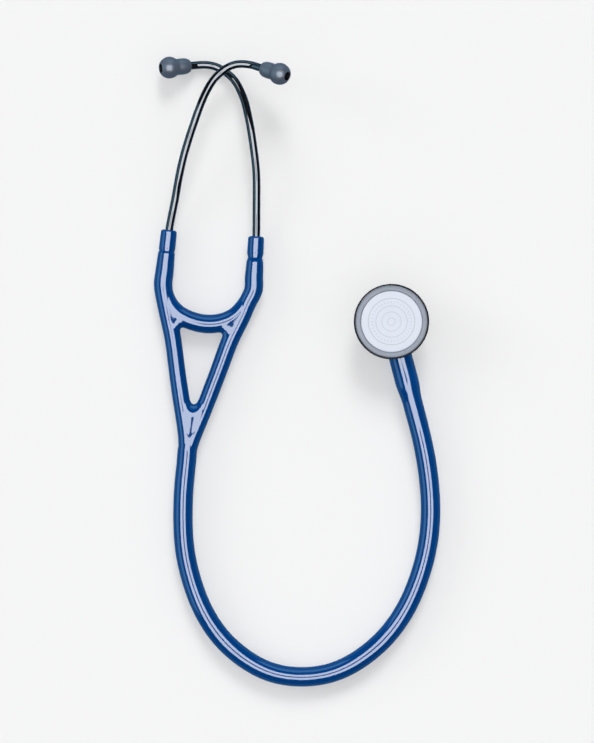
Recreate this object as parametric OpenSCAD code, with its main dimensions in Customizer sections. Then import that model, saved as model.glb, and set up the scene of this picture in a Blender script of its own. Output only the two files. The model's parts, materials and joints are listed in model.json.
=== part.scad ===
// Stethoscope lying flat: a moulded yoke with a triangular gap, two hinged arms
// with crossed ear tubes and soft eartips, one long hose and a double-sided
// chestpiece that turns on its stem.
// X to the right, Y towards the eartips, Z up. Everything lies on z = 0.

/* [Hose] */
// Outside diameter of the hose
hose_od = 11.4; // [9:0.2:12]
// Outside diameter of its thicker end on the stem
hose_end_d = 13.8; // [11.4:0.2:14]
// Bore of the hose
hose_bore = 6.2; // [6.2:0.2:7]

/* [Yoke] */
// Height of the yoke's centre above the table
yoke_z = 5.5; // [5.5:0.1:6]
// Extra radius on the yoke's legs and bar
yoke_fat = 0; // [-0.4:0.1:0.4]
// Bore of the sound channels in the legs
channel_d = 3.6; // [2:0.2:4]
// Diameter of the ball that ends each arm of the yoke
ball_d = 10; // [9:0.2:10]
// Thickness of the leaf spring
leaf_t = 0.8; // [0.5:0.1:1.2]
// Height of the leaf spring
leaf_h = 5.6; // [4:0.2:6]

/* [Arms] */
// Length from the hinge to the end of the collar
arm_len = 31.2; // [28:0.2:33]
// Radius of the arm beside the hinge
arm_r = 5.45; // [5.2:0.05:5.5]
// Radius of the collar at the arm's end
collar_r = 4.75; // [4.3:0.05:4.9]
// Gap between the hinge ball and its socket
ball_gap = 0.35; // [0.3:0.05:0.6]

/* [Ear tubes] */
// Outside diameter of the ear tubes
tube_d = 4.5; // [4:0.1:4.8]
// Bore of the ear tubes
tube_bore = 3; // [2:0.2:3.4]

/* [Eartips] */
// Radius of an eartip's round end
bulb_r = 6.35; // [6:0.05:6.8]
// Distance of the round end's centre from the eartip's foot
bulb_at = 12.8; // [12.6:0.1:14]
// Largest radius of the collar behind it
tip_collar_r = 4.75; // [4.3:0.05:4.8]
// Radius of the mouth
mouth_r = 2.8; // [2.5:0.1:3]
// Radial clearance of the eartip's bore on the ferrule
tip_clear = 0.05; // [0.02:0.01:0.1]

/* [Chestpiece] */
// Outside radius of the large side
large_r = 21.9; // [20:0.1:23]
// Radius of the large diaphragm that shows
large_open = 17.8; // [16:0.1:18]
// Outside radius of the small side
small_r = 16.8; // [15:0.1:18]
// Radius of the small diaphragm that shows
small_open = 13; // [11:0.1:13.4]
// Height of the whole chestpiece
chest_h = 22.5; // [22:0.1:24]
// Radius of the waist between the two sides
waist_r = 8.2; // [7.6:0.1:9]
// Height of the stem's axis above the table
stem_z = 9.5; // [9.5:0.1:10]
// Radial clearance of the stem in the chestpiece
stem_clear = 0.06; // [0.02:0.01:0.1]

/* [Hidden] */
$fn = 72;
// Moves the whole object so that its origin is under the middle of its box
shift_x = 0;
shift_y = 3.7;

// Sides of the swept tubes
hose_sides = 12;
leg_sides = 16;
tube_sides = 12;

// Chestpiece centre and the way its stem points
chest_x = 58.2;
chest_y = -43.2;
stem_turn = -75;

// Hinges of the two arms, and the way each arm points from +Y
left_pivot = [-75, -20.5, yoke_z];
right_pivot = [-22.2, -24.4, yoke_z];
left_lean = -6.4;
right_lean = -3;

// Feet of the eartips, the way each one points from +X, and its angle above the table
left_tip = [-17, 104, 20.4];
left_tip_turn = -20;
left_tip_rise = 31;
right_tip = [-59.4, 106.8, 4.1];
right_tip_turn = 187;
right_tip_rise = 22;

// Routes: x, y, z and radius
left_leg = [
  [-75, -20.5, yoke_z, 4.95],
  [-74.4, -27, yoke_z, 5.15],
  [-73.1, -34, yoke_z, 5.2],
  [-71.7, -41, yoke_z, 5.05],
  [-69.8, -50.3, yoke_z, 4.9],
  [-67.2, -69, yoke_z, 4.85],
  [-65.3, -83, yoke_z, 4.95],
  [-63.1, -97, yoke_z, 4.95],
  [-61.7, -106.5, yoke_z, 5],
  [-60.7, -115, yoke_z + 0.2, 5.5],
  [-61, -120, yoke_z + 0.2, 5.7]
];
right_leg = [
  [-22.2, -24.4, yoke_z, 4.95],
  [-25, -30.6, yoke_z, 5.15],
  [-29, -39.8, yoke_z, 5.2],
  [-34.2, -50.3, yoke_z, 5.15],
  [-41.5, -69, yoke_z, 5],
  [-46.8, -83, yoke_z, 4.95],
  [-52.2, -97, yoke_z, 4.85],
  [-56.2, -106.5, yoke_z, 4.9],
  [-59.8, -115, yoke_z + 0.2, 5.5],
  [-61, -120, yoke_z + 0.2, 5.7]
];
cross_bar = [
  [-74.4, -24, yoke_z, 4.7],
  [-72, -31.5, yoke_z, 5],
  [-67, -37.8, yoke_z, 5.25],
  [-59, -42.3, yoke_z, 5.4],
  [-48.6, -44.4, yoke_z, 5.45],
  [-38.6, -42.8, yoke_z, 5.35],
  [-31.2, -38.3, yoke_z, 5.15],
  [-26.3, -32, yoke_z, 4.9],
  [-23, -26.5, yoke_z, 4.6]
];
leaf_line = [
  [-66.8, -37.8],
  [-62.8, -40.5],
  [-59, -42.3],
  [-53.8, -43.9],
  [-48.6, -44.4],
  [-43.5, -44],
  [-38.6, -42.8],
  [-34.8, -40.8],
  [-31.6, -38.6]
];
hose_r = hose_od / 2;
end_r = hose_end_d / 2;
hose_z = hose_r;
hose_start_u = 17.6;
hose_route = [
  [-60.88, -118.6, hose_z, hose_r],
  [-61.3, -124, hose_z, hose_r],
  [-62.7, -138, hose_z, hose_r],
  [-63.4, -156.5, hose_z, hose_r],
  [-62.4, -175.5, hose_z, hose_r],
  [-58.6, -193.5, hose_z, hose_r],
  [-52, -211, hose_z, hose_r],
  [-41.8, -227, hose_z, hose_r],
  [-28.1, -239.6, hose_z, hose_r],
  [-11.6, -248.2, hose_z, hose_r],
  [7, -250.8, hose_z, hose_r],
  [25.3, -247.8, hose_z, hose_r],
  [42, -239, hose_z, hose_r],
  [56, -226.5, hose_z, hose_r],
  [66.7, -211.3, hose_z, hose_r],
  [74.3, -194.2, hose_z, hose_r],
  [79.3, -176, hose_z, hose_r],
  [81.4, -157.5, hose_z, hose_r],
  [80.8, -139, hose_z, hose_r],
  [78.2, -120.5, hose_z + 0.4, hose_r],
  stem_point(63, -2.7, hose_r),
  stem_point(54, -1.8, hose_r + 0.1),
  stem_point(47, -1.1, hose_r + 0.2),
  stem_point(42.5, -0.6, (hose_r + end_r) / 2),
  stem_point(38, -0.2, end_r - 0.1),
  stem_point(32, 0, end_r),
  stem_point(hose_start_u, 0, end_r - 0.1)
];

// Ear tube of the left arm: it passes over the other one
tube_r = tube_d / 2;
left_route = [
  arm_point(left_pivot, left_lean, 7),
  arm_point(left_pivot, left_lean, 18),
  arm_point(left_pivot, left_lean, arm_len),
  [-68.1, 28, 7.4, tube_r],
  [-65.9, 39.6, 11, tube_r],
  [-63.3, 51.2, 14.2, tube_r],
  [-59.9, 62.8, 16.3, tube_r],
  [-56, 74.4, 17, tube_r],
  [-52.2, 84.8, 16.4, tube_r],
  [-47.7, 94.2, 15.2, tube_r],
  [-44.3, 99, 14.8, tube_r],
  [-39.9, 103, 15, tube_r],
  [-35.6, 105.6, 15.6, tube_r],
  [-30.9, 106.8, 16, tube_r],
  [-26.4, 106.7, 16.3, tube_r],
  tip_point(left_tip, left_tip_turn, left_tip_rise, -6),
  tip_point(left_tip, left_tip_turn, left_tip_rise, -3.6),
  tip_point(left_tip, left_tip_turn, left_tip_rise, -1.2)
];
// Ear tube of the right arm: it stays low where the other one crosses it
right_route = [
  arm_point(right_pivot, right_lean, 7),
  arm_point(right_pivot, right_lean, 18),
  arm_point(right_pivot, right_lean, arm_len),
  [-20.4, 22.2, 6.8, tube_r],
  [-20.3, 33.8, 9, tube_r],
  [-20.6, 45.4, 10.6, tube_r],
  [-21.9, 57, 11.2, tube_r],
  [-23.6, 68.6, 10.6, tube_r],
  [-25.4, 78, 9.2, tube_r],
  [-27.1, 85, 7.7, tube_r],
  [-29.8, 92.1, 6, tube_r],
  [-34.3, 99.4, 4.4, tube_r],
  [-40.3, 104.3, 3.1, tube_r],
  [-44.7, 106.5, 2.8, tube_r],
  [-49.5, 107.4, 2.75, tube_r],
  tip_point(right_tip, right_tip_turn, right_tip_rise, -4.2),
  tip_point(right_tip, right_tip_turn, right_tip_rise, -2.7),
  tip_point(right_tip, right_tip_turn, right_tip_rise, -1.2)
];

// Eartip: length, and where the collar ends and the round end begins
tip_len = bulb_at + sqrt(bulb_r * bulb_r - pow(mouth_r + 0.3, 2));
tip_collar_mid = 4.8;
tip_collar_half = 5.9;
bulb_from = 134;

// Small functions for points and swept tubes
function unit(v) = v / norm(v);
function xyz(q) = [q[0], q[1], q[2]];
function mid4(a, b, c, d, t) =
  0.5 * (2 * b + (c - a) * t + (2 * a - 5 * b + 4 * c - d) * t * t
    + (3 * b - a - 3 * c + d) * t * t * t);
function smooth(p, k) = concat(
  [for (i = [0:len(p) - 2]) for (j = [0:k - 1])
    mid4(p[max(i - 1, 0)], p[i], p[i + 1], p[min(i + 2, len(p) - 1)], j / k)],
  [p[len(p) - 1]]);
function heading(p, i) = unit(xyz(p[min(i + 1, len(p) - 1)]) - xyz(p[max(i - 1, 0)]));
function ring(c, t, r, n) =
  let (a = unit(cross(t, [0, 0, 1])), b = cross(a, t))
  [for (k = [0:n - 1]) c + r * cos(360 * k / n) * a + r * sin(360 * k / n) * b];
function rings(p, n, r = 0) =
  [for (i = [0:len(p) - 1])
    each ring(xyz(p[i]), heading(p, i), r > 0 ? r : p[i][3], n)];
function resized(p, r) = [for (q = p) [q[0], q[1], q[2], r]];
function fattened(p) = [for (q = p) [q[0], q[1], q[2], q[3] + yoke_fat]];
function stem_point(u, drop, r) = [
  chest_x + u * cos(stem_turn),
  chest_y + u * sin(stem_turn),
  stem_z + drop,
  r
];
function arm_point(pivot, lean, h) = [
  pivot[0] - h * sin(lean),
  pivot[1] + h * cos(lean),
  pivot[2],
  tube_d / 2
];
function tip_point(foot, turn, rise, h) = [
  foot[0] + h * cos(turn) * cos(rise),
  foot[1] + h * sin(turn) * cos(rise),
  foot[2] + h * sin(rise),
  tube_d / 2
];

// A tube through the points of p, solid, or hollow when bore is over 0
module swept(p, n, bore = 0) {
  m = len(p);
  in = m * n;
  outer = rings(p, n);
  inner = bore > 0 ? rings(p, n, bore / 2) : [];
  wall = [for (i = [0:m - 2]) for (k = [0:n - 1]) let (j = (k + 1) % n)
    each [[i * n + k, i * n + j, (i + 1) * n + j],
      [i * n + k, (i + 1) * n + j, (i + 1) * n + k]]];
  lining = [for (f = wall) [f[0] + in, f[2] + in, f[1] + in]];
  ends = bore > 0
    ? [for (k = [0:n - 1]) let (j = (k + 1) % n, e = (m - 1) * n)
        each [[j, k, in + k], [j, in + k, in + j],
          [e + k, e + j, in + e + j], [e + k, in + e + j, in + e + k]]]
    : [[for (k = [n - 1:-1:0]) k], [for (k = [0:n - 1]) (m - 1) * n + k]];
  polyhedron(
    points = concat(outer, inner),
    faces = concat(wall, bore > 0 ? lining : [], ends),
    convexity = 12
  );
}

module placed() {
  translate([shift_x, shift_y, 0])
    children();
}

// Local +Z runs along the arm from its hinge
module at_arm(pivot, lean) {
  translate(pivot)
    rotate([0, 0, lean])
      rotate([-90, 0, 0])
        children();
}

// Local +Z runs along the eartip from its foot
module at_tip(foot, turn, rise) {
  translate(foot)
    rotate([0, 0, turn])
      rotate([0, 90 - rise, 0])
        children();
}

// Local +X is the stem's direction, z = 0 is the table
module at_chest() {
  translate([chest_x, chest_y, 0])
    rotate([0, 0, stem_turn])
      children();
}

// Local +Z runs along the stem from the chestpiece's centre
module at_stem() {
  at_chest()
    translate([0, 0, stem_z])
      rotate([0, 90, 0])
        children();
}

module yoke() {
  color([0.02, 0.2, 0.55])
    placed()
      difference() {
        union() {
          swept(fattened(smooth(left_leg, 3)), leg_sides);
          swept(fattened(smooth(right_leg, 3)), leg_sides);
          swept(fattened(smooth(cross_bar, 3)), leg_sides);
          translate(left_pivot)
            sphere(d = ball_d, $fn = 36);
          translate(right_pivot)
            sphere(d = ball_d, $fn = 36);
        }
        swept(resized(smooth(channel_ends(left_leg), 3), channel_d / 2), 8);
        swept(resized(smooth(channel_ends(right_leg), 3), channel_d / 2), 8);
        tail_cut();
        leaf_shape(0.05);
        locating_holes();
        yoke_mouths();
      }
}

function channel_ends(p) = concat([p[0] + (p[0] - p[1]) * 0.05],
  [for (i = [1:len(p) - 1]) p[i]]);

// Sound holes that run out of the two balls
module yoke_mouths() {
  at_arm(left_pivot, left_lean)
    cylinder(h = ball_d, d = channel_d, $fn = 24);
  at_arm(right_pivot, right_lean)
    cylinder(h = ball_d, d = channel_d, $fn = 24);
}

// Two small holes left by the pins that held the leaf spring in the mould
module locating_holes() {
  for (i = [2, 6])
    translate([leaf_line[i][0], leaf_line[i][1], -1])
      cylinder(h = yoke_z - 1, d = 1.6, $fn = 12);
}

// Squares off the tail where the hose begins
module tail_cut() {
  translate([-60.95, -118.5, yoke_z])
    rotate([0, 0, -6])
      translate([-15, -20, -15])
        cube([30, 20, 30]);
}

// Strip that runs inside the cross bar
module leaf_shape(gap) {
  n = len(leaf_line);
  t = leaf_t / 2 + gap;
  far = [for (i = [0:n - 1]) leaf_line[i] + t * leaf_side(i)];
  near = [for (i = [n - 1:-1:0]) leaf_line[i] - t * leaf_side(i)];
  translate([0, 0, yoke_z - leaf_h / 2 - gap])
    linear_extrude(height = leaf_h + 2 * gap)
      polygon(concat(far, near));
}

function leaf_side(i) =
  let (n = len(leaf_line), d = leaf_line[min(i + 1, n - 1)] - leaf_line[max(i - 1, 0)])
  [-d[1], d[0]] / norm(d);

module leaf_spring() {
  color([0.72, 0.73, 0.75])
    placed()
      leaf_shape(0);
}

module main_hose() {
  color([0.02, 0.2, 0.55])
    placed()
      swept(smooth(hose_route, 2), hose_sides, hose_bore);
}

module arm_shape(pivot, lean) {
  at_arm(pivot, lean)
    difference() {
      rotate_extrude()
        polygon([
          [0, 2.9],
          [arm_r, 2.9],
          [arm_r, 6],
          [arm_r - 0.15, 10],
          [collar_r + 0.15, 17.4],
          [collar_r + 0.05, 17.9],
          [collar_r - 0.35, 18.8],
          [collar_r, 19.7],
          [collar_r - 0.05, arm_len - 1.2],
          [collar_r - 0.3, arm_len - 0.3],
          [collar_r - 0.8, arm_len],
          [0, arm_len]
        ]);
      sphere(d = ball_d + 2 * ball_gap);
      cylinder(h = arm_len, d = channel_d);
      translate([0, 0, 6.9])
        cylinder(h = arm_len, d = tube_d + 0.3);
      translate([0, 0, 9])
        cylinder(h = 3, d = 6.6);
    }
}

module retainer_shape(pivot, lean) {
  at_arm(pivot, lean)
    translate([0, 0, 9.1])
      difference() {
        cylinder(h = 2.8, d = 6.5);
        translate([0, 0, -1])
          cylinder(h = 5, d = tube_d + 0.25);
      }
}

module ferrule_shape(foot, turn, rise) {
  at_tip(foot, turn, rise)
    translate([0, 0, -1.15])
      difference() {
        cylinder(h = 13.2, d = tube_d);
        translate([0, 0, -1])
          cylinder(h = 16, d = tube_bore);
      }
}

// A barrel-shaped collar and a round end with a mouth
module eartip_shape(foot, turn, rise) {
  fit_r = tube_d / 2 + tip_clear;
  bulb_to = asin((mouth_r + 0.3) / bulb_r);
  at_tip(foot, turn, rise)
    rotate_extrude()
      polygon(concat(
        [for (h = [0:0.8:tip_collar_mid])
          [tip_collar_r * sqrt(1 - pow((h - tip_collar_mid) / tip_collar_half, 2)), h]],
        [[tip_collar_r - 0.03, 6.5]],
        [for (i = [0:12]) let (a = bulb_from + (bulb_to - bulb_from) * i / 12)
          [bulb_r * sin(a), bulb_at + bulb_r * cos(a)]],
        [
          [mouth_r, tip_len - 0.15],
          [2.3, 13.6],
          [1.7, 13.1],
          [fit_r, 12.5],
          [fit_r, 0]
        ]
      ));
}

module left_arm() {
  color([0.02, 0.2, 0.55])
    placed()
      arm_shape(left_pivot, left_lean);
}

module right_arm() {
  color([0.02, 0.2, 0.55])
    placed()
      arm_shape(right_pivot, right_lean);
}

module left_tube_retainer() {
  color([0.72, 0.73, 0.75])
    placed()
      retainer_shape(left_pivot, left_lean);
}

module right_tube_retainer() {
  color([0.72, 0.73, 0.75])
    placed()
      retainer_shape(right_pivot, right_lean);
}

module left_ear_tube() {
  color([0.03, 0.03, 0.035])
    placed()
      swept(smooth(left_route, 2), tube_sides, tube_bore);
}

module right_ear_tube() {
  color([0.03, 0.03, 0.035])
    placed()
      swept(smooth(right_route, 2), tube_sides, tube_bore);
}

module left_tip_ferrule() {
  color([0.03, 0.03, 0.035])
    placed()
      ferrule_shape(left_tip, left_tip_turn, left_tip_rise);
}

module right_tip_ferrule() {
  color([0.03, 0.03, 0.035])
    placed()
      ferrule_shape(right_tip, right_tip_turn, right_tip_rise);
}

module left_eartip() {
  color([0.3, 0.36, 0.43])
    placed()
      eartip_shape(left_tip, left_tip_turn, left_tip_rise);
}

module right_eartip() {
  color([0.3, 0.36, 0.43])
    placed()
      eartip_shape(right_tip, right_tip_turn, right_tip_rise);
}

module stem() {
  color([0.75, 0.76, 0.78])
    placed()
      at_stem()
        difference() {
          rotate_extrude()
            polygon([
              [0, -6],
              [2.6, -6],
              [3, -5.6],
              [3, -4.2],
              [2.3, -4.2],
              [2.3, -2.2],
              [3, -2.2],
              [3, 5.4],
              [2.2, 5.4],
              [2.2, 6.8],
              [3, 6.8],
              [3, 9.6],
              [4.2, 9.6],
              [4.5, 9.9],
              [4.5, 16.6],
              [5, 17],
              [5, 17.4],
              [2.8, 17.4],
              [2.8, 20],
              [2.95, 20],
              [2.7, 22.5],
              [2.95, 22.5],
              [2.7, 25],
              [2.95, 25],
              [2.5, 28],
              [0, 28]
            ]);
          translate([0, 0, -1.6])
            cylinder(h = 30, r = 1.4);
          rotate([0, -90, 0])
            cylinder(h = 4, r = 1.3);
          translate([-4.1, 0, 13.2])
            rotate([0, -90, 0])
              cylinder(h = 1, r = 0.65);
        }
}

module stem_oring() {
  color([0.05, 0.05, 0.05])
    placed()
      at_stem()
        translate([0, 0, 6.1])
          rotate_extrude()
            translate([2.63, 0])
              circle(r = 0.38);
}

module stem_index_dot() {
  color([0.9, 0.9, 0.9])
    placed()
      at_stem()
        translate([-4.12, 0, 13.2])
          rotate([0, -90, 0])
            cylinder(h = 0.45, r = 0.6);
}

// Local +Z runs outwards from the stem's axis along the detent's hole
module at_detent() {
  at_chest()
    translate([-3.2, 0, stem_z])
      rotate([90, 0, 0])
        children();
}

module detent_ball() {
  color([0.8, 0.8, 0.82])
    placed()
      at_detent()
        translate([0, 0, 3.3])
          sphere(r = 0.85);
}

module detent_spring() {
  turns = 4;
  coil = [for (i = [0:turns * 12]) [
    0.62 * cos(30 * i),
    0.62 * sin(30 * i),
    4.4 + 1.4 * i / (turns * 12),
    0.13
  ]];
  color([0.7, 0.7, 0.72])
    placed()
      at_detent()
        swept(coil, 6);
}

module detent_screw() {
  color([0.7, 0.7, 0.72])
    placed()
      at_detent()
        difference() {
          translate([0, 0, 6])
            cylinder(h = 1.4, r = 0.9);
          translate([-1.2, -0.15, 7])
            cube([2.4, 0.3, 1]);
        }
}

// One side of the chestpiece, face down on z = 0
module rim_shape(r, deep) {
  rotate_extrude()
    polygon([
      [r - 0.8, 0.5],
      [r - 0.4, 0.35],
      [r - 0.1, 0.6],
      [r, 1],
      [r, deep - 0.4],
      [r - 0.3, deep],
      [r - 0.8, deep]
    ]);
}

module surround_shape(r, open) {
  rotate_extrude()
    polygon([
      [open, 0.25],
      [open + 0.5, 0],
      [r - 1.4, 0],
      [r - 0.9, 0.4],
      [r - 0.9, 2.15],
      [open + 1.1, 2.15],
      [open + 1.1, 0.6],
      [open, 0.6]
    ]);
}

module diaphragm_shape(open) {
  translate([0, 0, 0.35])
    cylinder(h = 0.6, r = open - 0.15);
  translate([0, 0, 0.75])
    cylinder(h = 0.35, r = open + 0.85);
}

module large_side() {
  translate([0, 0, chest_h])
    mirror([0, 0, 1])
      children();
}

module chestpiece_body() {
  lip = large_r - 0.9;
  foot = small_r - 0.9;
  color([0.3, 0.31, 0.34])
    placed()
      at_chest()
        difference() {
          union() {
            rotate_extrude()
              polygon([
                [0, 2.25],
                [foot, 2.25],
                [foot, 3.5],
                [foot - 1, 4],
                [waist_r + 1.6, 4.6],
                [waist_r + 0.5, 5.2],
                [waist_r, 6.2],
                [waist_r, 13],
                [waist_r + 0.6, 14.2],
                [waist_r + 2.2, 15.2],
                [lip - 2.4, chest_h - 4.9],
                [lip - 0.6, chest_h - 4.5],
                [lip, chest_h - 4.2],
                [lip, chest_h - 2.25],
                [0, chest_h - 2.25]
              ]);
            translate([0, 0, stem_z])
              rotate([0, 90, 0])
                cylinder(h = 9.3, r = 5.2);
          }
          translate([-6.4, 0, stem_z])
            rotate([0, 90, 0])
              cylinder(h = 20, r = 3 + stem_clear);
          translate([0, 0, 1])
            cylinder(h = chest_h - 2, r = 1.3);
          translate([0, 0, chest_h - 3.1])
            cylinder(h = 3, r1 = large_open - 3, r2 = large_open + 1);
          translate([0, 0, 0.1])
            cylinder(h = 3, r1 = small_open + 1, r2 = small_open - 3);
          translate([-3.2, 0, stem_z])
            rotate([90, 0, 0])
              cylinder(h = 12, r = 0.92);
        }
}

module large_rim() {
  color([0.03, 0.03, 0.035])
    placed()
      at_chest()
        large_side()
          rim_shape(large_r, 4.3);
}

module large_surround() {
  color([0.5, 0.53, 0.58])
    placed()
      at_chest()
        large_side()
          surround_shape(large_r, large_open);
}

module large_diaphragm() {
  color([0.88, 0.9, 0.95])
    placed()
      at_chest()
        large_side()
          diaphragm_shape(large_open);
}

module small_rim() {
  color([0.03, 0.03, 0.035])
    placed()
      at_chest()
        rim_shape(small_r, 3.6);
}

module small_surround() {
  color([0.5, 0.53, 0.58])
    placed()
      at_chest()
        surround_shape(small_r, small_open);
}

module small_diaphragm() {
  color([0.88, 0.9, 0.95])
    placed()
      at_chest()
        diaphragm_shape(small_open);
}

yoke();
leaf_spring();
main_hose();
left_arm();
right_arm();
left_tube_retainer();
right_tube_retainer();
left_ear_tube();
right_ear_tube();
left_tip_ferrule();
right_tip_ferrule();
left_eartip();
right_eartip();
stem();
stem_oring();
stem_index_dot();
detent_ball();
detent_spring();
detent_screw();
chestpiece_body();
large_rim();
large_surround();
large_diaphragm();
small_rim();
small_surround();
small_diaphragm();
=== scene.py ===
"""A stethoscope lying on a pale table, seen from straight above.

The yoke, arms, hose, ear tubes, eartips and the chestpiece's turned parts are rebuilt here as smooth
skins on the routes of part.scad, and the small inner parts keep their CAD meshes.
Lengths are in metres in the row frame. A profile is a list of (distance along the axis, radius).
"""

import json
import math

import bmesh
import bpy
import numpy as np
from mathutils import Matrix, Vector


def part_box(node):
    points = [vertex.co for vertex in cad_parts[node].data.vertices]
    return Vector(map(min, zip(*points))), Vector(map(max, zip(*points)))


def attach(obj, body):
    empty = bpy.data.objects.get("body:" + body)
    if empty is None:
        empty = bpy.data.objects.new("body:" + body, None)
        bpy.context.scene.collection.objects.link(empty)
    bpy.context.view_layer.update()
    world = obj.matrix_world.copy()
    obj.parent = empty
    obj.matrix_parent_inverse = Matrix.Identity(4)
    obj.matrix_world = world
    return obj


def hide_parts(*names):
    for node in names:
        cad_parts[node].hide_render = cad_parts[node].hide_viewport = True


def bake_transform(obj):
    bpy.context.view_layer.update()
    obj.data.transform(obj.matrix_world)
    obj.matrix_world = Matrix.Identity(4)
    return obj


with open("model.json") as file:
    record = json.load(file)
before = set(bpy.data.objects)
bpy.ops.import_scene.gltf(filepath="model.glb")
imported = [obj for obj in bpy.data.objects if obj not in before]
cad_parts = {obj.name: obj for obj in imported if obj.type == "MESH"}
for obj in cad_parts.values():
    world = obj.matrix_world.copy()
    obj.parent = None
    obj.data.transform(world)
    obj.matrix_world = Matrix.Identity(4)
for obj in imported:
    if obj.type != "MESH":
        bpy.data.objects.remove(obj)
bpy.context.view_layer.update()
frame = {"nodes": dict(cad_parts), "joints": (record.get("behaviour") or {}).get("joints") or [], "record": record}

JOINTS = {joint["name"]: joint for joint in frame["joints"]}


# ---------------------------------------------------------------- materials

CLOUD_SCALE = 60
SILICONE_COLOURS = ((0.071, 0.092, 0.128), (0.083, 0.106, 0.145))
# painted shade: near-black colour for the inside of the eartips' sound holes, standing in for the shade of the
# deep hole
BORE_PAINTED_SHADE = (0.002, 0.002, 0.003)
DIAPHRAGM_COLOURS = ((0.635, 0.67, 0.755), (0.66, 0.69, 0.775))
INK_COLOUR = (0.4, 0.44, 0.47)
INK_STRENGTH = 0.7


def new_material(name):
    material = bpy.data.materials.new(name)
    material.use_nodes = True
    return material, material.node_tree


def add_node(tree, kind, **values):
    """A new node, with inputs and settings given by name."""
    node = tree.nodes.new(kind)
    for key, value in values.items():
        if key in node.inputs:
            node.inputs[key].default_value = value
        else:
            setattr(node, key, value)
    return node


def computed(tree, kind, operation, *values, output=0):
    """The output of a Math or VectorMath node over sockets or plain values."""
    node = add_node(tree, f"ShaderNode{kind}", operation=operation)
    for socket, value in zip(node.inputs, values):
        if isinstance(value, bpy.types.NodeSocket):
            tree.links.new(value, socket)
        else:
            socket.default_value = value
    return node.outputs[output]


def surface_place(tree, centre=(0, 0, 0), scale=(1, 1, 1), turn=(0, 0, 0)):
    """Where a point of the surface is, in metres from centre, with the axes turned and stretched."""
    coordinates = add_node(tree, "ShaderNodeTexCoord").outputs["Object"]
    mapping = add_node(tree, "ShaderNodeMapping", Scale=scale, Rotation=turn)
    tree.links.new(computed(tree, "VectorMath", "SUBTRACT", coordinates, centre), mapping.inputs["Vector"])
    return mapping.outputs["Vector"]


def separated(tree, place):
    split = add_node(tree, "ShaderNodeSeparateXYZ")
    tree.links.new(place, split.inputs["Vector"])
    return split.outputs


def radial(tree, centre, turn=(0, 0, 0)):
    """The place flattened along an axis through centre, Z before the turn, and its distance from it."""
    flat = surface_place(tree, centre, (1, 1, 0), turn)
    return flat, computed(tree, "VectorMath", "LENGTH", flat, output="Value")


def noise(tree, place, scale, detail, roughness=0.5):
    texture = add_node(tree, "ShaderNodeTexNoise", Scale=scale, Detail=detail, Roughness=roughness)
    tree.links.new(place, texture.inputs["Vector"])
    return texture.outputs["Fac"]


def spread(tree, factor, low, high, start=0.3, end=0.7):
    """The factor, start to end, turned into low to high."""
    ranged = add_node(tree, "ShaderNodeMapRange")
    for key, value in (("From Min", start), ("From Max", end), ("To Min", low), ("To Max", high)):
        ranged.inputs[key].default_value = value
    tree.links.new(factor, ranged.inputs["Value"])
    return ranged.outputs["Result"]


def band(tree, value, middle, half):
    """1 within half of middle, with soft edges, and 0 elsewhere."""
    away = computed(tree, "Math", "ABSOLUTE", computed(tree, "Math", "SUBTRACT", value, middle))
    return spread(tree, away, 1, 0, half * 0.7, half * 1.3)


def two_colours(tree, factor, dark, light):
    """A colour between dark and light, by the factor."""
    ramp = add_node(tree, "ShaderNodeValToRGB")
    for element, position, colour in zip(ramp.color_ramp.elements, (0.3, 0.7), (dark, light)):
        element.position = position
        element.color = (*colour, 1)
    tree.links.new(factor, ramp.inputs["Fac"])
    return ramp.outputs["Color"]


def painted(tree, factor, under, colour):
    """The colour over what is under it, as far as the factor says."""
    mixed = add_node(tree, "ShaderNodeMix", data_type="RGBA")
    tree.links.new(factor, mixed.inputs["Factor"])
    tree.links.new(under, mixed.inputs[6])
    mixed.inputs[7].default_value = (*colour, 1)
    return mixed.outputs[2]


def feed(tree, source, socket):
    tree.links.new(source, tree.nodes["Principled BSDF"].inputs[socket])


def set_shader(tree, **values):
    for key, value in values.items():
        tree.nodes["Principled BSDF"].inputs[key.replace("_", " ")].default_value = value


def surfaced(tree, colour, relief, rough, bump, **sockets):
    """The shader's colour, and a relief that gives both its roughness and its bump."""
    feed(tree, colour, "Base Color")
    feed(tree, spread(tree, relief, *rough), "Roughness")
    raised = add_node(tree, "ShaderNodeBump", Strength=bump[0], Distance=bump[1])
    tree.links.new(relief, raised.inputs["Height"])
    feed(tree, raised.outputs["Normal"], "Normal")
    set_shader(tree, **sockets)


def speckled_material(name, dark, light, rough, grain, bump, stretch=(1, 1, 1), **sockets):
    """A moulded or painted surface: faint clouds in its colour, and a fine grain."""
    material, tree = new_material(name)
    place = surface_place(tree, scale=stretch)
    clouds = noise(tree, place, CLOUD_SCALE, 3)
    fine = noise(tree, place, grain, 4, 0.6)
    surfaced(tree, two_colours(tree, clouds, dark, light), fine, rough, bump, **sockets)
    return material


def turned_material(name, dark, light, rough, rings, bump, centre, turn=(0, 0, 0), **sockets):
    """A surface turned on a lathe: fine rings round the axis through centre, and faint clouds."""
    material, tree = new_material(name)
    place = surface_place(tree, centre, turn=turn)
    combined = add_node(tree, "ShaderNodeCombineXYZ")
    tree.links.new(radial(tree, centre, turn)[1], combined.inputs["X"])
    tree.links.new(separated(tree, place)["Z"], combined.inputs["Z"])
    grooves = noise(tree, combined.outputs["Vector"], rings, 5, 0.7)
    clouds = noise(tree, place, 90, 3)
    surfaced(tree, two_colours(tree, clouds, dark, light), grooves, rough, bump, **sockets)
    return material


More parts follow.
